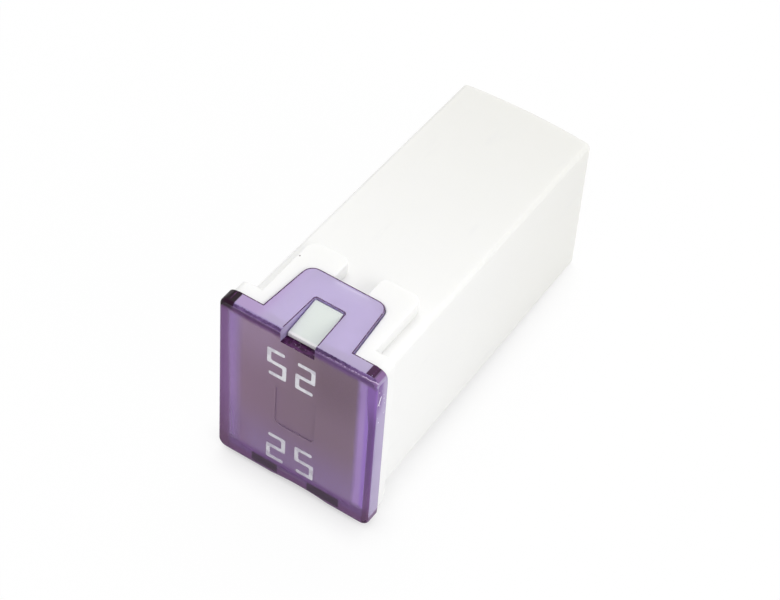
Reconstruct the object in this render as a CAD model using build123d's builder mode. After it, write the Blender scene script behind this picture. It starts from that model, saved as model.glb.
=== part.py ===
from build123d import *
import os

os.makedirs("parts", exist_ok=True)

# A female-terminal cartridge fuse, lying on one of its two latch sides.
# X runs across the window, Y from the window face to the mating face, Z is up.
# The origin is under the middle of the fuse, level with the cap's lowest edge.
# Depths are measured behind the window face, heights from the fuse's own axis.

# Outer sizes
overall_length = 27.8
cap_width = 12.1
cap_height = 14.5
body_width = 10.8
body_height = 12.2
body_taper = 0.55
end_crown = 0.3

# Window cap
plate_thickness = 1.1
cap_corner = 0.65
cap_edge_radius = 0.25
latch_root_width = 6.8
latch_tip_width = 6.0
latch_depth = 5.7
latch_thickness = 0.8
latch_tip_radius = 0.8
latch_lead_in = 0.35
window_width = 2.3
window_depth = 3.6
window_corner = 0.15
notch_width = 2.6
notch_height = 1.1
lower_dip = 0.18
lower_dip_width = 4.4
lower_dip_offset = 0.6
gate_width = 3.1
gate_height = 3.75
gate_corner = 0.45
gate_recess = 0.1

# Housing
side_wall = 0.8
latch_wall = 0.95
end_wall = 1.2
body_edge_radius = 0.35
end_edge_radius = 0.2
cavity_corner = 0.3
collar_thickness = 1.25
collar_inset = 0.2
collar_drop = 0.15
collar_edge_radius = 0.25
guard_width = 8.6
guard_depth = 7.75
guard_corner = 0.8
guard_gap = 2.5
guard_gap_corner = 0.5
guard_edge_radius = 0.12
guard_root = 0.5
latch_side_clearance = 0.1
latch_seat_clearance = 0.1
lug_side_clearance = 0.1
lug_catch_clearance = 0.1
lug_nose = 0.45
lug_nose_height = 0.3
lug_drop = 0.1
partition_thickness = 1.0
partition_length = 16.8

# The blades that plug in, and the slots that they pass through
blade_thickness = 0.8
blade_width = 6.3
slot_side_clearance = 0.35
slot_face_clearance = 0.55
slot_funnel = 0.3

# Fuse element: one stamped and folded strip
strip = 0.4
bend_radius = 0.5
link_depth = 4.2
leg_width = 5.0
leg_flare = 2.0
box_side_clearance = 0.1
box_headroom = 1.1
box_length = 4.0
box_from_end = 12.3
box_corner = 0.65
element_end_gap = 0.2
neck_width = 1.1
neck_half_height = 2.6
neck_shoulder = 0.8
pad_height = 1.9
ear_thickness = 0.3
ear_height = 1.2
ear_reach = 0.75
contact_squeeze = 0.2
contact_from_end = 5.2
arm_straight = 0.3
arm_bend_radius = 0.8
arm_setback = 0.3
arm_slit = 1.6
arm_edge_inset = 0.5

# Tin pellet clamped on the link
pellet_width = 2.0
pellet_height = 1.6
pellet_thickness = 0.85
pellet_edge_radius = 0.2
pellet_clearance = 0.02

# Back-up springs, each a sleeve with two arms that press on the contact arms
spring_thickness = 0.25
spring_clearance = 0.05
spring_wall_gap = 0.12
spring_inset = 0.4
spring_arm_setback = 0.5
spring_arm_inset = 0.35
spring_slit = 1.9

# Places worked out from the sizes above
window_y = -overall_length / 2
axis_height = cap_height / 2
cap_top = cap_height / 2
body_top = body_height / 2
latch_under = cap_top - latch_thickness
notch_floor = cap_top - notch_height
latch_seat = latch_under - latch_seat_clearance
guard_top = cap_top - collar_drop
collar_back = plate_thickness + collar_thickness
end_inside = overall_length - end_wall
body_length = overall_length - plate_thickness
lug_front = plate_thickness - lug_nose
lug_back = window_depth - lug_catch_clearance
lug_top = cap_top - lug_drop
lug_foot = notch_floor + latch_seat_clearance
lower_dip_radius = (lower_dip_width**2 / 4 + lower_dip**2) / (2 * lower_dip)
end_half_width = (body_width - body_taper) / 2
crown_radius = (end_half_width**2 + end_crown**2) / (2 * end_crown)
end_taper = body_taper * (end_inside - plate_thickness) / body_length
cavity_top = body_top - end_taper / 2 - latch_wall
partition_front = overall_length - partition_length
slot_width = blade_width + 2 * slot_side_clearance
slot_height = blade_thickness + 2 * slot_face_clearance
box_width = blade_width + 2 * (box_side_clearance + strip)
box_gap = blade_thickness + box_headroom
box_front = overall_length - box_from_end
box_back = box_front + box_length
contact_gap = blade_thickness - contact_squeeze
contact_depth = overall_length - contact_from_end
arm_bend = box_back + arm_straight
spring_front = box_front + spring_inset
spring_back = box_back - spring_inset
base_outer = cavity_top - spring_wall_gap - spring_thickness - spring_clearance
base_inner = base_outer - strip
blade_height = base_inner - blade_thickness / 2
box_height = box_gap + 2 * strip
box_middle = base_outer - box_height / 2
element_back = end_inside - element_end_gap
arm_back = element_back - arm_setback
pad_width = pellet_width + 2 * pellet_clearance + 2 * ear_thickness
link_corner = base_inner - bend_radius


def across(depth):
    """Upright plane across the fuse: local x is +X, local y the height from the axis."""
    return Plane(origin=(0, window_y + depth, axis_height), x_dir=(1, 0, 0), z_dir=(0, -1, 0))


def level(height):
    """Flat plane at a height from the axis: local x is +X, local y the depth."""
    return Plane(origin=(0, window_y, axis_height + height), x_dir=(1, 0, 0), z_dir=(0, 0, 1))


def along(offset=0):
    """Upright plane along the fuse: local x is the depth, local y the height from the axis."""
    return Plane(origin=(offset, window_y, axis_height), x_dir=(0, 1, 0), z_dir=(1, 0, 0))


def latch_outline(start):
    """Corners of a latch loop seen from above, from a starting depth to its tip."""
    root, tip = latch_root_width / 2, latch_tip_width / 2
    return [
        (-root, start),
        (-root, plate_thickness),
        (-tip, latch_depth),
        (tip, latch_depth),
        (root, plate_thickness),
        (root, start),
    ]


def window_outline(start, stop, inset):
    """Corners of a loop's window seen from above, narrowing with depth."""
    corners = []
    for depth in (start, stop):
        width = notch_width + (window_width - notch_width) * depth / window_depth
        corners.append((width / 2 - inset, depth))
    return [(-x, depth) for x, depth in corners] + corners[::-1]


def arm_outline(start, stop, drop, thickness):
    """Corners of a contact arm seen from the side, a drop below its upper face.

    The arm leaves the box level, slopes in to the contact and opens again as a mouth.
    """
    path = [(start, box_gap), (arm_bend, box_gap)]
    if stop > contact_depth:
        path += [(contact_depth, contact_gap), (stop, box_gap)]
    else:
        slope = (box_gap - contact_gap) / (contact_depth - arm_bend)
        path += [(stop, box_gap - slope * (stop - arm_bend))]
    upper = [(depth, base_inner - gap - drop) for depth, gap in path]
    lower = [(depth, height - thickness) for depth, height in reversed(upper)]
    return upper + lower


mid_plane = level(0)

# Window cap: a clear plate with two latch loops, flush with its long edges
with BuildPart() as window_cap:
    with BuildSketch(across(0)):
        RectangleRounded(cap_width, cap_height, cap_corner)
    extrude(amount=-plate_thickness)
    # The lower edge dips a little in the middle
    with BuildSketch(across(0)):
        with Locations((lower_dip_offset, lower_dip - cap_top - lower_dip_radius)):
            Circle(lower_dip_radius)
    extrude(amount=-plate_thickness, mode=Mode.SUBTRACT)
    fillet(faces().sort_by(Axis.Y)[0].edges(), radius=cap_edge_radius)
    for half in (level(cap_top), level(-latch_under)):
        with BuildSketch(half):
            with BuildLine():
                Polyline(*latch_outline(plate_thickness / 2), close=True)
            make_face()
            fillet(vertices().group_by(Axis.Y)[-1], radius=latch_tip_radius)
        extrude(amount=-latch_thickness)
    # Lead-ins inside the leading edges, which ride over the lugs
    leading_edges = edges().filter_by(Axis.X).group_by(Axis.Y)[-1].sort_by(Axis.Z)
    chamfer(leading_edges[1:3], length=latch_lead_in)
    # The upper loop's window runs on through the plate as a notch in its edge
    with BuildSketch(level(cap_top)):
        with BuildLine():
            Polyline(*window_outline(-plate_thickness, window_depth, 0), close=True)
        make_face()
        fillet(vertices().group_by(Axis.Y)[-1], radius=window_corner)
    extrude(amount=-notch_height, mode=Mode.SUBTRACT)
    # The lower loop's window stops at the plate
    with BuildSketch(level(-cap_top)):
        with BuildLine():
            Polyline(*window_outline(plate_thickness, window_depth, 0), close=True)
        make_face()
        fillet(vertices().group_by(Axis.Y)[-1], radius=window_corner)
    extrude(amount=notch_height, mode=Mode.SUBTRACT)
    # Shallow gate recess in the middle of the window face
    with BuildSketch(across(0)):
        RectangleRounded(gate_width, gate_height, gate_corner)
    extrude(amount=-gate_recess, mode=Mode.SUBTRACT)
window_cap.part.label = "window_cap"
export_step(window_cap.part, "parts/window_cap.step")


# Housing: a drafted tube with a collar, guards round the latches and two catch lugs
with BuildPart() as housing:
    with BuildSketch(across(plate_thickness)):
        RectangleRounded(body_width, body_height, body_edge_radius)
    with BuildSketch(across(overall_length)):
        RectangleRounded(body_width - body_taper, body_height - body_taper, body_edge_radius)
    loft()
    # The mating face is slightly crowned across its width
    with BuildSketch(level(0)):
        with Locations((0, overall_length - crown_radius)):
            Circle(crown_radius)
    extrude(amount=cap_height, both=True, mode=Mode.INTERSECT)
    fillet(faces().sort_by(Axis.Y)[-1].edges(), radius=end_edge_radius)

    # Collar that the cap closes on
    with BuildSketch(across(plate_thickness)):
        RectangleRounded(
            cap_width - 2 * collar_inset,
            cap_height - 2 * collar_drop,
            cap_corner - collar_drop,
        )
    extrude(amount=-collar_thickness)
    collar_face = faces().filter_by(Axis.Y).sort_by(Axis.Y)[-1]
    fillet(collar_face.outer_wire().edges(), radius=collar_edge_radius)

    # Guard pad round each latch, level with the collar, its far side open in the middle
    with BuildSketch(level(guard_top)):
        with Locations((0, plate_thickness)):
            Rectangle(guard_width, guard_depth - plate_thickness, align=(Align.CENTER, Align.MIN))
        fillet(vertices().group_by(Axis.Y)[-1], radius=guard_corner)
        with Locations((0, guard_depth)):
            Rectangle(guard_gap, 2 * (guard_depth - latch_depth), mode=Mode.SUBTRACT)
        gap_corners = vertices().filter_by_position(Axis.X, -guard_gap / 2, guard_gap / 2)
        fillet(gap_corners.group_by(Axis.Y)[-1], radius=guard_gap_corner)
    extrude(amount=body_top - guard_root - guard_top)
    guard_rim = edges().group_by(Axis.Z)[-1].filter_by_position(
        Axis.Y,
        window_y + collar_back + guard_edge_radius,
        window_y + overall_length,
    )
    fillet(guard_rim, radius=guard_edge_radius)
    # Pocket that the latch loop drops into
    with BuildSketch(level(cap_top)):
        with BuildLine():
            Polyline(*latch_outline(0), close=True)
        make_face()
        fillet(vertices().group_by(Axis.Y)[-1], radius=latch_tip_radius)
        offset(amount=latch_side_clearance)
    extrude(amount=latch_seat - cap_top, mode=Mode.SUBTRACT)
    # Catch lug in the loop's window: a ramp that the crossbar rides up and drops behind
    with BuildSketch(level(lug_top)):
        with BuildLine():
            Polyline(*window_outline(lug_front, lug_back, lug_side_clearance), close=True)
        make_face()
    extrude(amount=body_top - guard_root - lug_top)
    with BuildSketch(along()):
        with BuildLine():
            Polyline(
                (0, cap_top),
                (lug_back - lug_drop, cap_top),
                (lug_back - lug_drop, lug_top),
                (lug_front, lug_foot + lug_nose_height),
                (0, lug_foot + lug_nose_height),
                close=True,
            )
        make_face()
    extrude(amount=notch_width / 2, both=True, mode=Mode.SUBTRACT)
    split(bisect_by=mid_plane, keep=Keep.TOP)
    mirror(about=mid_plane)
    # The upper lug's nose lies in the cap's notch, and the lower lug starts behind the plate
    with BuildSketch(across(lug_front)):
        with Locations((0, lug_foot)):
            Rectangle(cap_width, 2 * cap_height, align=(Align.CENTER, Align.MAX))
    extrude(amount=lug_front - plate_thickness, mode=Mode.SUBTRACT)

    # Cavity, open at the window end
    with BuildSketch(across(plate_thickness)):
        RectangleRounded(
            body_width - 2 * side_wall,
            body_height - 2 * latch_wall,
            cavity_corner,
        )
    with BuildSketch(across(end_inside)):
        RectangleRounded(
            body_width - end_taper - 2 * side_wall,
            body_height - end_taper - 2 * latch_wall,
            cavity_corner,
        )
    loft(mode=Mode.SUBTRACT)
    # Partition between the two terminals
    with BuildSketch(along()):
        with Locations(((partition_front + end_inside + end_wall / 2) / 2, 0)):
            Rectangle(end_inside + end_wall / 2 - partition_front, partition_thickness)
    extrude(amount=body_width / 2 - side_wall, both=True)
    # Two blade slots in the mating face, each with a funnel
    for side in (1, -1):
        with BuildSketch(across(overall_length)):
            with Locations((0, side * blade_height)):
                Rectangle(slot_width, slot_height)
        extrude(amount=2 * end_wall, mode=Mode.SUBTRACT)
        with BuildSketch(across(overall_length)):
            with Locations((0, side * blade_height)):
                Rectangle(slot_width + 2 * slot_funnel, slot_height + 2 * slot_funnel)
        with BuildSketch(across(overall_length - end_crown - slot_funnel)):
            with Locations((0, side * blade_height)):
                Rectangle(slot_width, slot_height)
        loft(mode=Mode.SUBTRACT)
housing.part.label = "housing"
export_step(housing.part, "parts/housing.step")


# Fuse element: a strip folded into two legs and a link, each leg ending in a socket
with BuildPart() as fuse_element:
    with BuildSketch(along()):
        with Locations((link_depth, 0)):
            Rectangle(
                element_back - link_depth, 2 * base_outer, align=(Align.MIN, Align.CENTER)
            )
        fillet(vertices().group_by(Axis.X)[0], radius=bend_radius + strip)
    extrude(amount=box_width / 2, both=True)
    with BuildSketch(along()):
        with Locations((link_depth + strip, 0)):
            Rectangle(overall_length, 2 * base_inner, align=(Align.MIN, Align.CENTER))
        fillet(vertices().group_by(Axis.X)[0], radius=bend_radius)
    extrude(amount=box_width, both=True, mode=Mode.SUBTRACT)
    # The legs seen from above: narrow, then flared to the sockets
    with BuildSketch(level(0)):
        with BuildLine():
            Polyline(
                (0, 0),
                (leg_width / 2, 0),
                (leg_width / 2, box_front - leg_flare),
                (box_width / 2 - box_corner, box_front),
                (box_width / 2 - box_corner, element_back),
                (0, element_back),
                close=True,
            )
        make_face()
        mirror(about=Plane.YZ)
    extrude(amount=cap_height, both=True, mode=Mode.INTERSECT)
    # The link seen from the window: two necks either side of the pellet's pad
    with BuildSketch(across(0)):
        with BuildLine():
            Polyline(
                (box_width, link_corner),
                (leg_width / 2, link_corner),
                (neck_width / 2, neck_half_height),
                (neck_width / 2, pad_height / 2 + neck_shoulder),
                (pad_width / 2, pad_height / 2),
                (pad_width / 2, 0),
                (box_width, 0),
                close=True,
            )
        make_face()
        mirror(about=Plane.YZ)
    extrude(amount=-2 * link_depth, mode=Mode.SUBTRACT)
    # Ears that hold the pellet
    with BuildSketch(across(link_depth)):
        with Locations(
            ((pad_width - ear_thickness) / 2, 0),
            ((ear_thickness - pad_width) / 2, 0),
        ):
            Rectangle(ear_thickness, ear_height)
    extrude(amount=ear_reach)
    # Socket: a rolled box round the blade, split along its inner side
    with BuildSketch(across(box_front)):
        with Locations((0, box_middle)):
            RectangleRounded(box_width, box_height, box_corner)
            RectangleRounded(box_width - 2 * strip, box_gap, box_corner - strip, mode=Mode.SUBTRACT)
    extrude(amount=box_front - box_back)
    # Contact arms that press the blade against the leg
    with BuildSketch(along()):
        with BuildLine():
            Polyline(*arm_outline(box_back - strip, arm_back, 0, strip), close=True)
        make_face()
        bends = vertices().filter_by_position(Axis.X, arm_bend - strip, contact_depth + strip)
        fillet(bends, radius=arm_bend_radius)
    extrude(amount=box_width / 2 - arm_edge_inset, both=True)
    with BuildSketch(level(base_inner - contact_gap / 2)):
        with Locations((0, box_front - strip)):
            Rectangle(arm_slit, overall_length, align=(Align.CENTER, Align.MIN))
    extrude(amount=-box_height, mode=Mode.SUBTRACT)
    split(bisect_by=mid_plane, keep=Keep.TOP)
    mirror(about=mid_plane)
fuse_element.part.label = "fuse_element"
export_step(fuse_element.part, "parts/fuse_element.step")


# Tin pellet: melts into the link on a long overload
with BuildPart() as tin_pellet:
    with BuildSketch(across(link_depth)):
        RectangleRounded(pellet_width, pellet_height, pellet_edge_radius)
    extrude(amount=pellet_thickness)
    fillet(faces().sort_by(Axis.Y)[0].edges(), radius=pellet_edge_radius / 2)
tin_pellet.part.label = "tin_pellet"
export_step(tin_pellet.part, "parts/tin_pellet.step")


# Back-up spring: a split sleeve round the upper socket, with two sloping arms
spring_offset = spring_clearance + spring_thickness
with BuildPart() as spring_upper:
    with BuildSketch(across(spring_front)):
        with Locations((0, box_middle)):
            RectangleRounded(
                box_width + 2 * spring_offset,
                box_height + 2 * spring_offset,
                box_corner + spring_offset,
            )
            RectangleRounded(
                box_width + 2 * spring_clearance,
                box_height + 2 * spring_clearance,
                box_corner + spring_clearance,
                mode=Mode.SUBTRACT,
            )
    extrude(amount=spring_front - spring_back)
    with BuildSketch(along()):
        with BuildLine():
            Polyline(
                *arm_outline(
                    spring_back - strip,
                    contact_depth - spring_arm_setback,
                    strip + spring_clearance,
                    spring_thickness,
                ),
                close=True,
            )
        make_face()
        bends = vertices().filter_by_position(Axis.X, arm_bend - strip, arm_bend + strip)
        fillet(bends, radius=arm_bend_radius)
    extrude(amount=box_width / 2 - arm_edge_inset - spring_arm_inset, both=True)
    with BuildSketch(level(box_middle)):
        with Locations((0, spring_front - strip)):
            Rectangle(spring_slit, overall_length, align=(Align.CENTER, Align.MIN))
    extrude(amount=-box_height, mode=Mode.SUBTRACT)
spring_upper.part.label = "spring_upper"
export_step(spring_upper.part, "parts/spring_upper.step")

# The lower socket's spring is its mirror image
with BuildPart() as spring_lower:
    mirror(spring_upper.part, about=mid_plane)
spring_lower.part.label = "spring_lower"
export_step(spring_lower.part, "parts/spring_lower.step")
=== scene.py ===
# %% [markdown]
# A cartridge fuse in Blender.
# The fuse is a white moulded tube that is closed at one end by a clear violet window.
# The CAD model gives every piece its exact shape and place. This script gives each
# piece its soft edges, its print and its finish, and then lights and frames it.

import math

import bmesh
import bpy
from mathutils import Matrix, Vector


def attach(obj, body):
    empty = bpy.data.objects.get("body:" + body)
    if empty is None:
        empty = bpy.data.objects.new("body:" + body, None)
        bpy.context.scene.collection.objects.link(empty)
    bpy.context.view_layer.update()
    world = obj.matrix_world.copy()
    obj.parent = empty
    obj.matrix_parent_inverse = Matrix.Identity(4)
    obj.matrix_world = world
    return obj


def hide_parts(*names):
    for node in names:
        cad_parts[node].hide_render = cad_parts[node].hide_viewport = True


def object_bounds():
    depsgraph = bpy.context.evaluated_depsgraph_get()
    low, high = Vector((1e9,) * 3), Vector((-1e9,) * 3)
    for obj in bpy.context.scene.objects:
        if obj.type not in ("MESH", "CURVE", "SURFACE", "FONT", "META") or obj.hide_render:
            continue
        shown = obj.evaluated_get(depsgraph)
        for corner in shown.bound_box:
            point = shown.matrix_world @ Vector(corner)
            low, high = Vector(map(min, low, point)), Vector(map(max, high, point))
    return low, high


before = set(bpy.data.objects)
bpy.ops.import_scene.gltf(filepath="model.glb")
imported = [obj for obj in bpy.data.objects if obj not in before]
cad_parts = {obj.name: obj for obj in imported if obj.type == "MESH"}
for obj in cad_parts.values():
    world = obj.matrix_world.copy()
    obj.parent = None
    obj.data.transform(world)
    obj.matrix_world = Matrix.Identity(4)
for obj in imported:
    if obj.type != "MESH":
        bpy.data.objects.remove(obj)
cad_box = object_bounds()
MM = 0.001


def in_mm(box):
    """The two corners of a box in millimetres, for printing."""
    return [[round(v / MM, 2) for v in corner] for corner in box]


print("CAD box in mm:", in_mm(cad_box))

# %% [markdown]
# A finish is a small network of shader nodes. Written out node by node it is long and
# hard to read, so a Wire wraps one output socket and lets maths on it look like maths.
# A Finish holds one network, and its node method adds any kind of node. Most finishes
# are painted: a ground colour, with other colours over it, each where its mask is 1.
# Masks come from noise and from the point's place on the piece, in millimetres.


# %% Shader maths as expressions
class Wire:
    """An output socket that can be added, subtracted and multiplied."""

    def __init__(self, finish, socket):
        self.finish, self.socket = finish, socket

    def math(self, operation, *values):
        return self.finish.node("ShaderNodeMath", {"operation": operation}, values)

    def __add__(self, other):
        return self.math("ADD", self, other)

    def __sub__(self, other):
        return self.math("SUBTRACT", self, other)

    def __rsub__(self, other):
        return self.math("SUBTRACT", other, self)

    def __mul__(self, other):
        return self.math("MULTIPLY", self, other)

    __radd__ = __add__
    __rmul__ = __mul__

    def most(self, other):
        """The larger of the two, which joins two masks."""
        return self.math("MAXIMUM", self, other)

    def size(self):
        """The value without its sign."""
        return self.math("ABSOLUTE", self)

    def from_to(self, zero, one):
        """Goes smoothly from 0 at zero to 1 at one, where one may be the lower number."""
        smooth = {"interpolation_type": "SMOOTHSTEP"}
        return self.finish.node("ShaderNodeMapRange", smooth, {0: self, 1: zero, 2: one})

    def near(self, place, inside, outside):
        """1 as far as inside from place, 0 from outside on, and smooth between them."""
        return (self - place).size().from_to(outside, inside)


# %% A network of shader nodes
class Finish:
    """The node network of one material, or of the world."""

    def __init__(self, name, world=False):
        self.block = (bpy.data.worlds if world else bpy.data.materials).new(name)
        self.block.use_nodes = True
        self.tree = self.block.node_tree
        self.tree.nodes.clear()
        kind = "ShaderNodeOutputWorld" if world else "ShaderNodeOutputMaterial"
        self.output = self.tree.nodes.new(kind)

    def node(self, kind, settings=None, values=(), output=0):
        """Adds a node: first its settings, then the values or wires of its sockets."""
        made = self.tree.nodes.new(kind)
        for name, value in (settings or {}).items():
            setattr(made, name, value)
        pairs = values.items() if isinstance(values, dict) else enumerate(values)
        for name, value in pairs:
            if isinstance(value, Wire):
                self.tree.links.new(value.socket, made.inputs[name])
            else:
                made.inputs[name].default_value = value
        return Wire(self, made.outputs[output])

    def place(self, scale=(1, 1, 1)):
        """The point on the piece, in millimetres, stretched by scale."""
        point = self.node("ShaderNodeTexCoord", output="Object")
        values = [point, [s / MM for s in scale]]
        return self.node("ShaderNodeVectorMath", {"operation": "MULTIPLY"}, values)

    def axes(self, names="XYZ"):
        """The point's X, Y and Z, or those of them that are named, in millimetres."""
        split = self.node("ShaderNodeSeparateXYZ", values=[self.place()])
        return [Wire(self, split.socket.node.outputs[name]) for name in names]

    def rays(self, *kinds):
        """For each kind of ray, such as Camera, 1 where a ray of that kind arrives."""
        path = self.node("ShaderNodeLightPath")
        return [Wire(self, path.socket.node.outputs[f"Is {kind} Ray"]) for kind in kinds]

    def noise(self, scale, detail=3.0, stretch=(1, 1, 1)):
        """Even noise from 0 to 1, with scale features to each millimetre."""
        values = {"Vector": self.place(stretch), "Scale": scale, "Detail": detail}
        return self.node("ShaderNodeTexNoise", values=values)

    def mix(self, factor, a, b):
        """A colour that goes from a to b as factor goes from 0 to 1."""
        a, b = [(*c, 1) if isinstance(c, tuple) else c for c in (a, b)]
        # A Mix node has sockets for every type of data: 6, 7 and output 2 are colours.
        values = {0: factor, 6: a, 7: b}
        return self.node("ShaderNodeMix", {"data_type": "RGBA"}, values, output=2)

    def paint(self, colour, *coats):
        """Paints coats over a colour. Each coat is its mask and its own colour."""
        for mask, over in coats:
            colour = self.mix(mask, colour, over)
        return colour

    def bump(self, height, depth_mm, strength):
        """A normal that follows height, where 1 stands depth_mm out of the surface."""
        values = {"Height": height, "Distance": depth_mm * MM, "Strength": strength}
        return self.node("ShaderNodeBump", values=values)

    def shader(self, **sockets):
        """A Principled shader with these sockets set or linked."""
        values = {name.replace("_", " "): value for name, value in sockets.items()}
        return self.node("ShaderNodeBsdfPrincipled", values=values)

    def blend(self, factor, a, b):
        """A shader that goes from a to b as factor goes from 0 to 1."""
        return self.node("ShaderNodeMixShader", values=[factor, a, b])

    def finish(self, shader, volume=None):
        """Ends the network in a shader, and in a volume where the piece is clear."""
        self.tree.links.new(shader.socket, self.output.inputs["Surface"])
        if volume:
            self.tree.links.new(volume.socket, self.output.inputs["Volume"])
        print(self.block.name, "has", len(self.tree.nodes), "nodes")


# %% [markdown]
# The CAD pieces arrive as loose triangles with knife edges. A moulded or stamped piece
# has soft edges that catch the light. They could be cut into each mesh by hand, but a
# Bevel modifier finds the sharp edges by their angle and rounds them all alike. It needs
# whole faces, so each piece is copied and its triangles are merged back into faces.
# A Weighted Normal modifier then keeps the large faces flat in the light.


# %% Copy a CAD piece
SAME_POINT = 0.0005 * MM
SAME_FACE, SHARP_EDGE = math.radians(0.5), math.radians(35)


def whole_faces(node):
    """A bmesh of a CAD piece, with doubled points merged and flat faces made whole."""
    mesh = bmesh.new()
    mesh.from_mesh(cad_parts[node].data)
    bmesh.ops.remove_doubles(mesh, verts=mesh.verts, dist=SAME_POINT)
    bmesh.ops.dissolve_limit(
        mesh,
        angle_limit=SAME_FACE,
        verts=mesh.verts,
        edges=mesh.edges,
        use_dissolve_boundaries=False,
        delimit={"NORMAL"},
    )
    return mesh


def as_object(name, mesh, *finishes):
    """Turns a bmesh into an object at the origin that has these finishes."""
    data = bpy.data.meshes.new(name)
    mesh.to_mesh(data)
    mesh.free()
    for finish in finishes:
        data.materials.append(finish.block)
    made = bpy.data.objects.new(name, data)
    bpy.context.scene.collection.objects.link(made)
    return made


# %% Soften a piece's edges
def soft_piece(name, node, finishes, radius, mesh=None):
    """Makes a piece that stands for a CAD node, with edges rounded by radius in mm."""
    piece = as_object(name, mesh or whole_faces(node), *finishes)
    piece.data.shade_smooth()
    piece.data.set_sharp_from_angle(angle=SHARP_EDGE)
    if radius:
        bevel = piece.modifiers.new("soft edges", "BEVEL")
        bevel.width = radius * MM
        bevel.segments = 2
        bevel.limit_method = "ANGLE"
        bevel.angle_limit = SHARP_EDGE
        bevel.harden_normals = False
        bevel.use_clamp_overlap = True
    flat = piece.modifiers.new("flat faces stay flat", "WEIGHTED_NORMAL")
    flat.keep_sharp = True
    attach(piece, "root")
    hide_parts(node)
    print(name, "has", len(piece.data.polygons), "faces before its bevel")
    return piece


# %% [markdown]
# The housing is moulded from a filled white plastic. It is nearly matte, with a very
# fine grain from the mould, faint waves where the thick parts shrank, and a few scuffs.
# It is painted a little darker and warmer towards its far end, as the shade that falls
# along it. The catch lug under the latch loop is painted darker and cooler, as the shade
# under the loop, and one of the guard pads has a tiny dark speck. A little light goes
# into such plastic and comes out beside, so the shader has some subsurface scattering.

# %% White plastic and the housing
WINDOW_END, FAR_END = -16.0, 22.0
LUG_END, LUG_FRONT, LUG_HALF_WIDTH = -8.1, -13.1, 1.45
SOFT = 0.1
SPECK, SPECK_RADIUS = (-4.09, -7.85, 14.35), 0.04

white = Finish("white plastic")
x, y = white.axes("XY")
waves = white.noise(0.16, 2.0)
grain = white.noise(9.0, 4.0)
scuffs = white.noise(0.9, 5.0, (1.0, 0.25, 1.0)).from_to(0.62, 0.75)
lug_shade = x.near(0, LUG_HALF_WIDTH - SOFT / 2, LUG_HALF_WIDTH + SOFT / 2)
lug_shade = lug_shade * y.from_to(LUG_END + SOFT, LUG_END - SOFT)
lug_shade = lug_shade * y.from_to(LUG_FRONT - SOFT, LUG_FRONT + SOFT)
distance = {"operation": "DISTANCE"}
away = white.node("ShaderNodeVectorMath", distance, [white.place(), SPECK], output=1)
# Painted shade: the far end is darker and warmer, and the lug under the loop is darker and
# cooler.
tone = white.paint(
    white.mix(waves, (0.85, 0.85, 0.845), (0.88, 0.88, 0.87)),
    (y.from_to(WINDOW_END, FAR_END), (0.753, 0.749, 0.716)),
    (lug_shade * 0.8, (0.66, 0.72, 0.68)),
    (away.from_to(2 * SPECK_RADIUS, SPECK_RADIUS), (0.30, 0.27, 0.27)),
    (scuffs * 0.15, (0.70, 0.70, 0.71)),
)
shine = white.shader(
    Base_Color=tone,
    Roughness=0.42 + grain * 0.12,
    Normal=white.bump(grain * 0.5 + waves, 0.01, 0.35),
    IOR=1.5,
    Subsurface_Weight=0.5,
    Subsurface_Radius=(1.0, 1.0, 0.95),
    Subsurface_Scale=0.6 * MM,
)
white.finish(shine)
soft_piece("white_housing", "housing", [white], 0.08)

# %% [markdown]
# The cap is clear violet plastic. Clear plastic shows its colour by depth: a thin wall is
# pale and a long way through it is dark. So the surface bends light without a tint, and
# a volume inside takes the colour away. The plastic is also a little milky, which lifts
# its flat faces to a pale violet, so a share of plain violet is mixed with the clear.

# %% Milky clear plastic
PLATE_FRONT = cad_box[0][1]
MIDDLE = (cad_box[0][2] + cad_box[1][2]) / 2
UNTINTED = (1, 1, 1, 1)
CLEAR = {"IOR": 1.57, "Transmission_Weight": 1.0}
ABSORBED = {"Color": (0.33, 0.12, 0.76, 1), "Density": 440.0}
MILK, MILK_SHARE = (0.77, 0.635, 1.0), 0.43
SHADE_DARK, SHADE_DARKEST, SHADE_BLACK = (0.05, 0.01, 0.05), (0.01, 0.0, 0.006), (0.02, 0.002, 0.015)


def window_axes(finish):
    """X, the height over the window's middle and the depth behind its face, in mm."""
    x, y, z = finish.axes()
    return x, z - MIDDLE / MM, y - PLATE_FRONT / MM


def milky(finish, share, clear, milk=MILK, shade_mask=0.0, shade_colour=SHADE_DARK):
    """The clear shader with a share of milk and the volume. Shaded milk is painted dark.
    """
    clouds = finish.noise(0.8, 3.0)
    # The last coat is painted shade: the shade colour where the shade mask is 1.
    colour = finish.paint(milk, (clouds * 0.15, (0.4, 0.3, 0.6)), (shade_mask, shade_colour))
    matte = finish.shader(Base_Color=colour, Roughness=0.4, Specular_IOR_Level=0.15)
    volume = finish.node("ShaderNodeVolumeAbsorption", values=ABSORBED)
    finish.finish(finish.blend(share, clear, matte), volume)


# %% [markdown]
# The plate's rim isn't one colour, because the eye looks a longer or shorter way into
# the plastic and less light reaches some of it. That shade is painted into the milk. The
# two ends of the plate's top are painted almost black, and beside the left one the top
# is painted a little darker. The left edge and the lower part of the right edge are
# painted shaded, the upper part of the right edge is painted a deep violet shade, and
# the lower edge a dull purple shade. A mask made from the point's place picks out each
# of these, and the milk turns to its colour there. Near the top of the right side the
# plastic has a few pale chips and one short slanting scratch, painted in the milk as
# bright glints.

# %% Where painted shade darkens the clear plastic
LEFT_END, UPPER = (-4.9, -5.0), (2.4, 5.4)

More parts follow.
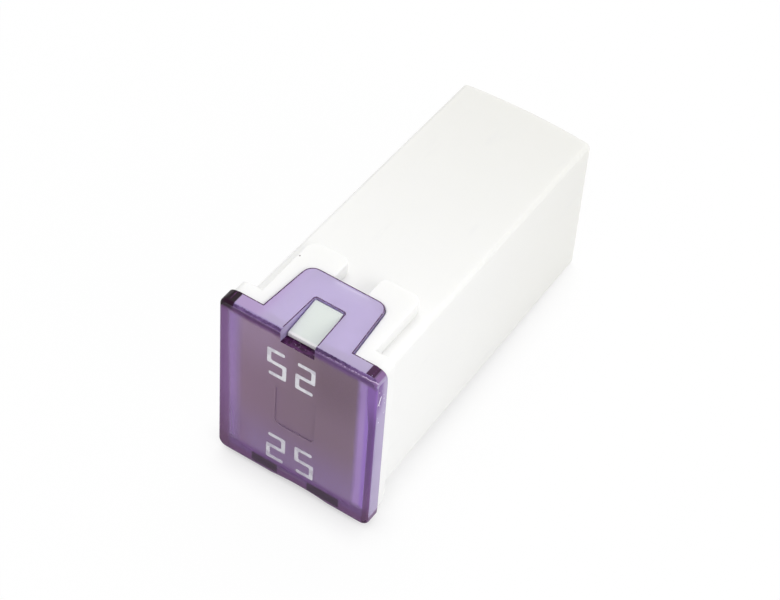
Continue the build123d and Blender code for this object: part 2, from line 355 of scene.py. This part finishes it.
violet = Finish("clear violet")
x, height, behind = window_axes(violet)
# Painted shade: the dark ends of the top, its darker left part, the lower edge, the left
# edge and the right edge.
right_end = x.from_to(4.9, 5.0) * x.from_to(5.7, 5.55)
left_end = x.from_to(*LEFT_END)
shaded_ends = left_end.most(right_end) * height.from_to(6.2, 6.6)
left_top_shade = x.from_to(-2.2, -3.6) * x.from_to(-5.0, -4.9) * height.from_to(7.0, 7.1)
low = height.from_to(-6.0, -6.4)
upper = height.from_to(*UPPER)
right = x.from_to(5.55, 5.65) * x.from_to(6.0, 5.9)
right_shade = upper * right.most(x.from_to(6.0, 6.04) * behind.from_to(1.15, 0.35))
edge = x.from_to(-5.75, -5.9).most(right * (1 - upper))
uneven_shade = violet.noise(3.0, 4.0, (1.0, 1.0, 0.25))
shadow = shaded_ends.most(edge * (0.55 + uneven_shade * 0.6))

# %% Glints painted on chips and a scratch, and the clear violet
# The chips and the scratch are painted as bright glints in the milk.
chip_glints = violet.noise(5.0, 3.0, (1.0, 1.0, 0.5)).from_to(0.66, 0.7) * x.from_to(5.8, 5.9)
chip_glints = chip_glints * height.near(4.6, 1.4, 2.0)
slant = behind - (height - 4.95) * 0.38
scratch_glint = slant.near(0.22, 0.03, 0.07) * height.near(5.25, 0.28, 0.38)
glint_flecks = chip_glints.most(scratch_glint * x.from_to(5.9, 5.95))
streaks = violet.noise(1.3, 3.0)
pits = violet.noise(14.0, 5.0).from_to(0.55, 0.7)
clear = violet.shader(
    Base_Color=UNTINTED,
    Roughness=0.02 + pits * 0.05,
    Normal=violet.bump(streaks + pits * 0.3, 0.004, 0.3),
    **CLEAR,
)
# The upper right edge and the side beside it are painted a deep violet shade.
right_shade_colour = violet.mix(height.from_to(6.6, 7.0), (0.20, 0.085, 0.32), (0.27, 0.14, 0.33))
milk = violet.paint(
    MILK,
    (left_top_shade, (0.50, 0.35, 0.64)),
    (right_shade, right_shade_colour),
    (low, (0.17, 0.095, 0.18)),
    (glint_flecks, (1.0, 0.97, 1.0)),
)
extra = (shadow * 0.65).most(left_top_shade * 0.3).most(low * 0.55).most(right_shade * 0.4)
share = MILK_SHARE + extra + glint_flecks * 0.5
shade_colour = violet.mix(left_end, SHADE_DARK, SHADE_DARKEST)
milky(violet, share, clear, milk, shadow * (1 - glint_flecks), shade_colour)

# %% [markdown]
# The sides of the latch loops come from a rougher part of the mould, so the same plastic
# has a satin surface there.

# %% Satin violet
satin = Finish("satin violet")
grain = satin.noise(10.0, 4.0)
clear = satin.shader(Base_Color=UNTINTED, Roughness=0.45 + grain * 0.2, **CLEAR)
milky(satin, MILK_SHARE, clear)

# %% [markdown]
# The middle of the window is etched, so that the inside of the fuse shows only as a warm
# blur. The etched face is a second material on the same solid: a matte haze over the
# clear plastic, held in a rectangle with soft edges. It is browner at the upper right,
# paler at the upper left, bluer at the bottom and redder at the lower left. The gate
# recess, where the plastic flowed into the mould, has a fine dark outline, painted as
# the shade at the edge of the recess.

# %% The haze of the etched window
GATE_HALF_WIDTH, GATE_HALF_HEIGHT = 1.53, 1.85

etched = Finish("etched violet")
x, z = etched.axes("XZ")
height = z - MIDDLE / MM
grain = etched.noise(11.0, 3.0)
clouds = etched.noise(0.35, 2.0)
upper_left = height.from_to(1.0, 6.0) * x.from_to(0.8, -2.5)
upper_right = height.from_to(0.0, 4.5) * x.from_to(0.8, 2.2)
lower_left = height.from_to(-1.5, -5.0) * x.from_to(-3.0, -4.4)
# The gate's outline is painted shade at the edge of its recess.
gate = (x.size() - GATE_HALF_WIDTH).most(height.size() - GATE_HALF_HEIGHT)
haze = etched.paint(
    etched.mix(x.from_to(-5.5, 1.5), (0.42, 0.265, 0.345), (0.34, 0.238, 0.247)),
    (upper_left * 0.9, (0.545, 0.38, 0.52)),
    (upper_right * 0.9, (0.228, 0.152, 0.128)),
    (height.from_to(-0.5, -5.5) * 0.9, (0.44, 0.308, 0.575)),
    (lower_left * 0.8, (0.38, 0.22, 0.38)),
    (clouds * 0.2 + grain.from_to(0.35, 0.65) * 0.25, (0.42, 0.28, 0.33)),
    (gate.near(0, 0.02, 0.09) * 0.3, (0.20, 0.13, 0.22)),
)

# %% [markdown]
# Along the lower edge the haze gives way to a dull purple band of painted shade. The two
# legs of the lower latch loop stand behind it and are painted on it as dark bars of
# shade, with a paler line between them.

# %% The painted shade along the lower edge
# Painted shade: the lower band and the dark bars of the legs behind it.
low = height.from_to(-5.3, -6.0)
leg_shade = x.near(-2.25, 0.98, 1.08).most(x.near(2.43, 1.2, 1.3))
leg_shade = leg_shade * height.from_to(-6.05, -6.18) * height.from_to(-6.95, -6.85)
between = height.near(-6.33, 0.03, 0.09) * x.near(-0.05, 1.1, 1.2)
shade_band = etched.paint(
    etched.mix(height.from_to(-6.3, -6.6), (0.28, 0.13, 0.37), (0.32, 0.13, 0.35)),
    (between * 0.5, (0.50, 0.33, 0.46)),
    (leg_shade, (0.09, 0.03, 0.07)),
)

# %% [markdown]
# Beside the haze the clear rim of the plate has a darker border of painted shade,
# because the side walls stand on edge there. It leans a little at the left. At the
# right it is painted a bright violet near the top, as light. Under the upper edge runs
# a dark, uneven line of painted shade, and its left corner is painted almost black.

# %% The painted shade of the borders and of the upper line
# Painted shade on the borders and under the upper edge, and painted light on the right
# border near the top.
upper = height.from_to(*UPPER)
lean = height.from_to(5.0, -3.0) * 0.14
border = (x - lean).from_to(-5.1, -5.4).most((x + upper * 0.25).from_to(5.5, 5.6))
right_border = etched.mix(upper, (0.17, 0.06, 0.24), (0.37, 0.165, 0.61))
border_colour = etched.paint(
    (0.33, 0.15, 0.39),
    (x.from_to(0.0, 1.0), right_border),
    (height.from_to(0.0, -5.5) * 0.7, (0.22, 0.09, 0.18)),
)
ragged_height = height + (etched.noise(3.0, 3.0) - 0.5) * 0.25
shade_line = ragged_height.from_to(6.3, 6.65)
# The left corner of the line is painted almost black as shade.
corner = height.from_to(6.45, 6.75) * x.from_to(-4.8, -5.2)
to_right = x.from_to(0.0, 3.0)
shade_line_colour = etched.paint(
    etched.mix(to_right, (0.19, 0.06, 0.19), (0.21, 0.095, 0.26)),
    (height.from_to(6.85, 6.95), (0.21, 0.10, 0.27)),
    (
        ragged_height.near(6.8, 0.05, 0.13),
        etched.mix(to_right, (0.09, 0.015, 0.10), (0.13, 0.04, 0.19)),
    ),
    (corner, SHADE_BLACK),
)
haze = etched.paint(haze, (low, shade_band), (border, border_colour), (shade_line, shade_line_colour))

# %% [markdown]
# The haze is partly matte and partly lets light through from behind, as frosted plastic
# does. Between the haze and the border, the clear plastic shows as a lighter strip: its
# milk is more blue at the right, and painted darker as shade at the lower left and near
# the top.

# %% The etched window
# The strip's milk is painted darker as shade at the lower left and near the top.
strip = etched.paint(
    etched.mix(x.from_to(-5.0, 5.0), (0.55, 0.27, 0.74), (0.72, 0.42, 1.0)),
    (x.from_to(5.1, 5.4), (0.55, 0.24, 1.0)),
    (height.from_to(0.0, -4.0) * x.from_to(-3.0, -4.4), (0.42, 0.19, 0.58)),
    (upper * 0.4, (0.50, 0.26, 0.80)),
)
matte = etched.shader(
    Base_Color=haze,
    Roughness=0.5 + grain * 0.2,
    Normal=etched.bump(grain, 0.003, 0.3),
    Specular_IOR_Level=0.35,
)
pale = etched.node("ShaderNodeBsdfTranslucent", values={"Color": (0.85, 0.78, 0.8, 1)})
matte = etched.blend(0.4 - corner * 0.35, matte, pale)
# The clear part at the bottom is tinted deeper, as painted shade too.
tint = etched.mix(low, (1.0, 1.0, 1.0), (0.85, 0.33, 0.75))
clear = etched.shader(Base_Color=tint, Roughness=0.05, **CLEAR)
rectangle = x.from_to(-5.05, -4.0) * x.from_to(4.95, 4.45) * height.from_to(-6.15, -5.95)
share = (rectangle * 0.93).most(low * 0.72 * (1 - leg_shade * 0.2))
share = share.most(border * 0.85).most(shade_line * 0.9).most(corner)
milk_share = (1 - low) * (1 - share) * MILK_SHARE
milky(etched, milk_share, etched.blend(share, clear, matte), strip)

# %% [markdown]
# Two places are torn, and their darkness is painted shade: the floor of the notch, where
# the flow of the plastic ended, and the upper front edge of the plate, which the holder
# has scratched. Going round that edge from the top to the front, it is painted pale at
# first as lit, then ragged and dark as shade, then a mid violet. A broken bright line, a
# painted highlight where the scratches catch the light, runs between the last two, and
# small bright chips are painted glints. The left corner of the edge is painted almost
# black as shade.

# %% The way round the torn edge, with its painted light and shade
EDGE_FROM = 7.5
BRIGHT_AT = 0.46

torn_and_shaded = Finish("torn violet")
x, height, behind = window_axes(torn_and_shaded)
patches = torn_and_shaded.noise(2.2, 4.0, (1.0, 2.0, 2.0))
broken = torn_and_shaded.noise(5.5, 4.0, (1.0, 0.2, 0.2)).from_to(0.47, 0.56)
wander = (torn_and_shaded.noise(6.0, 3.0, (1.0, 0.3, 0.3)) - 0.5) * 0.3
on_edge = height.from_to(6.8, 6.9) * behind.from_to(0.35, 0.3)
corner = x.from_to(*LEFT_END)
round_it = EDGE_FROM - height - behind + x.from_to(-1.0, 1.0) * 0.09 + wander
bright_line = round_it.near(BRIGHT_AT, 0.03, 0.07) * broken.most(x.from_to(4.6, 5.2))
bright_line = bright_line * x.from_to(-2.5, 4.5)
# The chips are painted bright glints.
chip_glints = torn_and_shaded.noise(5.0, 3.0).from_to(0.6, 0.7) * (0.5 - on_edge * 0.3)
bright = (bright_line * on_edge).most(chip_glints) * (1 - corner)

# %% The torn edges, with painted shade and glints
# Painted shade on the notch's floor and the edge's dark band; painted light on its pale
# part.
patched = patches.from_to(0.35, 0.65)
ragged_shade = torn_and_shaded.mix(patched, (0.08, 0.04, 0.13), (0.18, 0.10, 0.27))
edge_light_and_shade = torn_and_shaded.paint(
    (0.32, 0.24, 0.46),
    (round_it.from_to(0.10, 0.22), ragged_shade),
    (round_it.from_to(0.38, 0.46), (0.23, 0.13, 0.31)),
    (corner, SHADE_BLACK),
)
floor_shade_colour = torn_and_shaded.mix(patched, (0.03, 0.002, 0.03), (0.09, 0.02, 0.10))
shine = torn_and_shaded.shader(
    Base_Color=torn_and_shaded.paint(
        floor_shade_colour, (on_edge, edge_light_and_shade), (bright * 0.7, (0.70, 0.55, 0.80))
    ),
    Roughness=0.3 + patches * 0.3,
    Normal=torn_and_shaded.bump(patches, 0.02, 0.6),
    Specular_IOR_Level=0.15,
)
torn_and_shaded.finish(shine, torn_and_shaded.node("ShaderNodeVolumeAbsorption", values=ABSORBED))

# %% [markdown]
# Cycles ends a volume where it meets another surface. The plate presses on the white
# collar, so its back is sunk a little into it, and the white then shows through every
# face of the plate. At the four corners the back stands off the collar instead: light
# can't leave the plastic there, and the top of the plate looks dark. The plate's front
# is set back as much, so that the ink on it stays inside the CAD model's box.

# %% Press the plate on the collar
PLATE_BACK = PLATE_FRONT + 1.1 * MM
SET_BACK = 0.02 * MM
HAIR = 0.001 * MM
PRESSED_HALF_WIDTH, PRESSED_HALF_HEIGHT = 5.2 * MM, 6.2 * MM


def with_edges(faces):
    """Faces with their edges and points, which is what bisect_plane cuts."""
    edges = dict.fromkeys(e for f in faces for e in f.edges)
    verts = dict.fromkeys(v for f in faces for v in f.verts)
    return [*faces, *edges, *verts]


def faces_where(mesh, test):
    """The faces of a bmesh whose every point passes the test."""
    return [f for f in mesh.faces if all(test(v.co) for v in f.verts)]


cap_mesh = whole_faces("window_cap")
back = faces_where(cap_mesh, lambda point: abs(point.y - PLATE_BACK) < HAIR)
for side in (-1, 1):
    for place, normal in (
        ((side * PRESSED_HALF_WIDTH, 0, MIDDLE), (1, 0, 0)),
        ((0, 0, MIDDLE + side * PRESSED_HALF_HEIGHT), (0, 0, 1)),
    ):
        cut = bmesh.ops.bisect_plane(
            cap_mesh, geom=with_edges(back), plane_co=place, plane_no=normal
        )
        back = [g for g in cut["geom"] if isinstance(g, bmesh.types.BMFace)]
print("the plate's back has", len(back), "faces")
for vert in {v for f in back for v in f.verts}:
    beside = abs(vert.co.x) > PRESSED_HALF_WIDTH + HAIR
    beyond = abs(vert.co.z - MIDDLE) > PRESSED_HALF_HEIGHT + HAIR
    vert.co.y += -SET_BACK if beside and beyond else SET_BACK
for vert in cap_mesh.verts:
    if vert.co.y < PLATE_FRONT + HAIR:
        vert.co.y += SET_BACK

# %% [markdown]
# The flat top and bottom of the cap have a thin dark line all round, where the light
# turns in the plastic at the edge. An inset gives those faces a narrow rim, and the rim
# gets the torn finish, which paints that line as shade. The cap has no bevel: the CAD
# model has rounded its edges. The window's face and the front half of its rounded sides
# are etched, the sides of the latch loops are satin, and the notch's floor and the upper
# front edge are torn, with their darkness painted as shade.

# %% The window cap and its four finishes
ETCHED, SATIN, TORN_AND_SHADED = 1, 2, 3
TOP, TORN_AND_SHADED_FROM, NOTCH_FLOOR, WINDOW = 7.25 * MM, 6.9 * MM, 6.15 * MM, 6 * MM
HALF_ROUND, RECESSED, ROUND = 0.13 * MM, 0.2 * MM, 0.25 * MM
RIM, RIM_FROM, LOOPS_FROM = 0.07 * MM, 0.33 * MM, 1.15 * MM

flat = faces_where(cap_mesh, lambda point: abs(point.z - MIDDLE) > TOP - HAIR)
rim = bmesh.ops.inset_region(cap_mesh, faces=flat, thickness=RIM, use_even_offset=True)
# The rim gets the torn finish, whose dark is painted shade.
for face in rim["faces"]:
    if face.calc_center_median().y > PLATE_FRONT + RIM_FROM:
        face.material_index = TORN_AND_SHADED
print("the dark rim of the flat faces has", len(rim["faces"]), "faces")


def finish_of(face):
    """Which of the cap's finishes a face gets, from where it lies and how it faces."""
    behind, high = face.center.y - PLATE_FRONT, face.center.z - MIDDLE
    forward, up = -face.normal.y, face.normal.z
    if behind < HALF_ROUND and abs(high) < WINDOW or behind < RECESSED and forward > 0.99:
        return ETCHED
    if behind > LOOPS_FROM and abs(up) < 0.5:
        return SATIN
    if abs(high - NOTCH_FLOOR) < 0.05 * MM and up > 0.9:
        return TORN_AND_SHADED
    if behind < ROUND and high > TORN_AND_SHADED_FROM and up > 0.1 and forward > 0.1:
        return TORN_AND_SHADED
    return face.material_index


cap_finishes = [violet, etched, satin, torn_and_shaded]
cap = soft_piece("clear_cap", "window_cap", cap_finishes, 0, cap_mesh)
for face in cap.data.polygons:
    if not face.material_index:
        face.material_index = finish_of(face)
used = [face.material_index for face in cap.data.polygons]
print("faces of each finish:", [used.count(i) for i in range(len(cap_finishes))])

# %% [markdown]
# The rating is printed in white, once for each way up. The ink is a little uneven, and
# in places it is a violet grey, most of all in the lower pair of digits.

# %% White ink
ink = Finish("white ink")
height = ink.axes("Z")[0] - MIDDLE / MM
speckle = ink.noise(6.0, 4.0)
greyer = ink.noise(1.6, 3.0).from_to(0.42, 0.62) * 0.35 + height.from_to(-2.0, -3.0) * 0.25
tone = ink.mix(speckle, (0.74, 0.74, 0.79), (0.84, 0.84, 0.88))
shine = ink.shader(
    Base_Color=ink.mix(greyer, tone, (0.34, 0.28, 0.40)),
    Roughness=0.5 + speckle * 0.2,
)
ink.finish(shine)

# %% [markdown]
# A digit could come from a font, but these are plain strokes of even width with square
# turns. So each is drawn as a path on a grid, the path is given its width, its corners
# are rounded as ink rounds them, and the sheet is given the thickness of the ink.

# %% Draw a digit
DIGIT_WIDTH, DIGIT_HEIGHT, STROKE = 1.2, 2.2, 0.3
TWO = [(0, 1), (1, 1), (1, 0.5), (0, 0.5), (0, 0), (1, 0)]
FIVE = [(1, 1), (0, 1), (0, 0.5), (1, 0.5), (1, 0), (0, 0)]


def stroke(mesh, path, corner, turned):
    """Adds a digit's stroke to mesh, with its lower left corner at corner, in mm."""
    points = [Vector((x * DIGIT_WIDTH, y * DIGIT_HEIGHT)) for x, y in path]
    if turned:
        points = [Vector((DIGIT_WIDTH, DIGIT_HEIGHT)) - p for p in points]
    points = [p + Vector(corner) for p in points]
    left, right = [], []
    for i, point in enumerate(points):
        before = points[i] - points[i - 1] if i else points[1] - points[0]
        after = points[i + 1] - points[i] if i + 1 < len(points) else before
        a, b = before.normalized(), after.normalized()
        across = Vector((-a.y - b.y, a.x + b.x)) / (1 + a.dot(b)) * STROKE / 2
        left.append(point + across)
        right.append(point - across)
    outline = [(p.x * MM, PLATE_FRONT, p.y * MM + MIDDLE) for p in left + right[::-1]]
    mesh.faces.new([mesh.verts.new(p) for p in outline])


# %% The printed rating
UPPER_ROW, LOWER_ROW = 2.78, -5.48
ROUNDED = 0.12 * MM

rating = bmesh.new()
stroke(rating, TWO, (-1.98, LOWER_ROW), False)
stroke(rating, FIVE, (0.27, LOWER_ROW), False)
stroke(rating, TWO, (0.1, UPPER_ROW), True)
stroke(rating, FIVE, (-2.1, UPPER_ROW), True)
bmesh.ops.bevel(
    rating,
    geom=rating.verts[:],
    offset=ROUNDED,
    affect="VERTICES",
    segments=3,
    profile=0.5,
    material=-1,
)
bmesh.ops.recalc_face_normals(rating, faces=rating.faces)
if rating.faces[0].normal.y > 0:
    bmesh.ops.reverse_faces(rating, faces=rating.faces)
sheet = bmesh.ops.extrude_face_region(rating, geom=rating.faces[:])
moved = [g for g in sheet["geom"] if isinstance(g, bmesh.types.BMVert)]
bmesh.ops.translate(rating, verts=moved, vec=(0, 2 * SET_BACK, 0))
bmesh.ops.recalc_face_normals(rating, faces=rating.faces)
print_piece = as_object("printed_rating", rating, ink)
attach(print_piece, "root")
print("the print has", len(print_piece.data.polygons), "faces")

# %% [markdown]
# The fuse element is stamped from copper strip and plated with tin. Plated strip is pale
# and warm, with fine drawing lines along its length: noise that is stretched that way
# gives them, as roughness and as a very shallow bump.

# %% Tinned strip and the fuse element
tinned = Finish("tinned strip")
lines = tinned.noise(6.0, 4.0, (3.0, 0.15, 3.0))
clouds = tinned.noise(0.7, 3.0)
shine = tinned.shader(
    Base_Color=tinned.mix(clouds, (0.64, 0.60, 0.54), (0.75, 0.71, 0.65)),
    Roughness=0.28 + lines * 0.2,
    Metallic=1.0,
    Normal=tinned.bump(lines, 0.004, 0.4),
)
tinned.finish(shine)
soft_piece("tinned_element", "fuse_element", [tinned], 0.04)

# %% [markdown]
# The pellet is soft tin, dull and a little uneven. The back-up springs are bright
# stainless strip with the fine lines of rolling.

# %% Tin and the pellet
tin = Finish("soft tin")
dapple = tin.noise(2.5, 4.0)
shine = tin.shader(
    Base_Color=tin.mix(dapple, (0.60, 0.60, 0.61), (0.72, 0.72, 0.73)),
    Roughness=0.4 + dapple * 0.2,
    Metallic=1.0,
    Normal=tin.bump(dapple, 0.02, 0.4),
)
tin.finish(shine)
soft_piece("soft_pellet", "tin_pellet", [tin], 0.05)

# %% Spring steel and the back-up springs
steel = Finish("spring steel")
rolled = steel.noise(8.0, 4.0, (3.0, 0.12, 3.0))
shine = steel.shader(
    Base_Color=steel.mix(rolled, (0.48, 0.49, 0.50), (0.60, 0.61, 0.62)),
    Roughness=0.2 + rolled * 0.18,
    Metallic=1.0,
    Normal=steel.bump(rolled, 0.003, 0.4),
)
steel.finish(shine)
for side in ("upper", "lower"):
    soft_piece(f"steel_{side}", f"spring_{side}", [steel], 0.04)

# %% [markdown]
# The fuse rests on the far edge of its lower guard and on the far end of its body, so
# the floor under it leans by a few degrees. The camera sees the floor as almost white
# paper. Whitened paper would lose the dark line of contact under the fuse, so it is
# whitened less where ambient occlusion says that the fuse stands close over it. In
# mirrored and in clear surfaces the whitening is weaker.

# %% The floor's finish
SHADE_REACH = 2.2 * MM
WHITENED, LESS_COVERED, IN_MIRRORS, THROUGH_CLEAR = 0.96, 0.7, 0.5, 0.1

paper = Finish("pale floor")
direct, mirrored, through = paper.rays("Camera", "Glossy", "Transmission")
occlusion = {"Distance": SHADE_REACH}
uncovered = paper.node("ShaderNodeAmbientOcclusion", {"samples": 8}, occlusion, 1)
whitened = direct * (WHITENED - (1 - uncovered) * LESS_COVERED)
whitened = whitened.most(mirrored * IN_MIRRORS).most(through * THROUGH_CLEAR)
matte = paper.node("ShaderNodeBsdfDiffuse", values={"Color": (0.9, 0.9, 0.9, 1)})
glow = paper.node("ShaderNodeEmission", values={"Color": (1, 1, 1, 1), "Strength": 1.0})
paper.finish(paper.blend(whitened, matte, glow))

# %% The floor
GUARD_EDGE = Vector((0, -6.15, 0.15)) * MM
FAR_EDGE = Vector((0, 13.6, 1.43)) * MM
HALF_FLOOR = 2.0

sheet = bmesh.new()
bmesh.ops.create_grid(sheet, x_segments=1, y_segments=1, size=HALF_FLOOR)
lean = (FAR_EDGE - GUARD_EDGE).angle(Vector((0, 1, 0)))
bmesh.ops.rotate(sheet, verts=sheet.verts, matrix=Matrix.Rotation(lean, 3, "X"))
bmesh.ops.translate(sheet, verts=sheet.verts, vec=GUARD_EDGE)
floor = as_object("floor", sheet, paper)
print("the floor leans by", round(math.degrees(lean), 2), "degrees")

# %% [markdown]
# The light is even and comes from all round: a pale world and two large soft lamps. The
# camera, mirrors and clear plastic see the world lighter than it lights the fuse.

# %% The world
LIGHTING, SEEN = (1, 1, 1, 1), (0.8, 0.8, 0.8, 1)

room = Finish("pale room", world=True)
bpy.context.scene.world = room.block
direct, mirrored, through = room.rays("Camera", "Glossy", "Transmission")
lights = room.node("ShaderNodeBackground", values={"Color": LIGHTING, "Strength": 0.68})
seen = room.node("ShaderNodeBackground", values={"Color": SEEN, "Strength": 1.0})
room.finish(room.blend(direct.most(mirrored).most(through), lights, seen))

# %% The lamps
AIM = Vector((0, 0, 7.25)) * MM


def soft_lamp(name, place, size, power):
    """A square lamp turned to the fuse. Place and size are in mm, and power in W."""
    lamp = bpy.data.lights.new(name, "AREA")
    lamp.size = size * MM
    lamp.energy = power
    held = bpy.data.objects.new(name, lamp)
    held.location = Vector(place) * MM
    held.rotation_euler = (AIM - held.location).to_track_quat("-Z", "Y").to_euler()
    bpy.context.scene.collection.objects.link(held)


soft_lamp("overhead", place=(-60, 120, 300), size=220, power=0.36)
soft_lamp("side", place=(260, -60, 160), size=180, power=0.31)

# %% [markdown]
# The camera stands where the photograph was taken from, 33 degrees round to the right of
# the window and 50 degrees up, with a long lens. Its place, its three directions and its
# focal length in pixels were worked out from the corners of the fuse in the photograph.

# %% The camera
RIGHT = Vector((0.83010652, 0.55484091, 0.05545025))
DOWN = Vector((0.44035278, -0.59129869, -0.67561475))
FORWARD = Vector((-0.34207104, 0.58524988, -0.73516664))
STANDS_AT = Vector((55.823, -98.507, 128.540)) * MM
FOCAL_PIXELS, PHOTO_WIDTH, SENSOR = 2463.8, 780.0, 36.0

lens = bpy.data.cameras.new("camera")
lens.sensor_width = SENSOR
lens.lens = FOCAL_PIXELS * SENSOR / PHOTO_WIDTH
lens.clip_start = 10 * MM
camera = bpy.data.objects.new("camera", lens)
turn = Matrix((RIGHT, -DOWN, -FORWARD)).transposed().to_4x4()
camera.matrix_world = Matrix.Translation(STANDS_AT) @ turn
bpy.context.scene.collection.objects.link(camera)
bpy.context.scene.camera = camera
bpy.context.scene.view_settings.view_transform = "Standard"
print("the lens is", round(lens.lens, 1), "mm long")
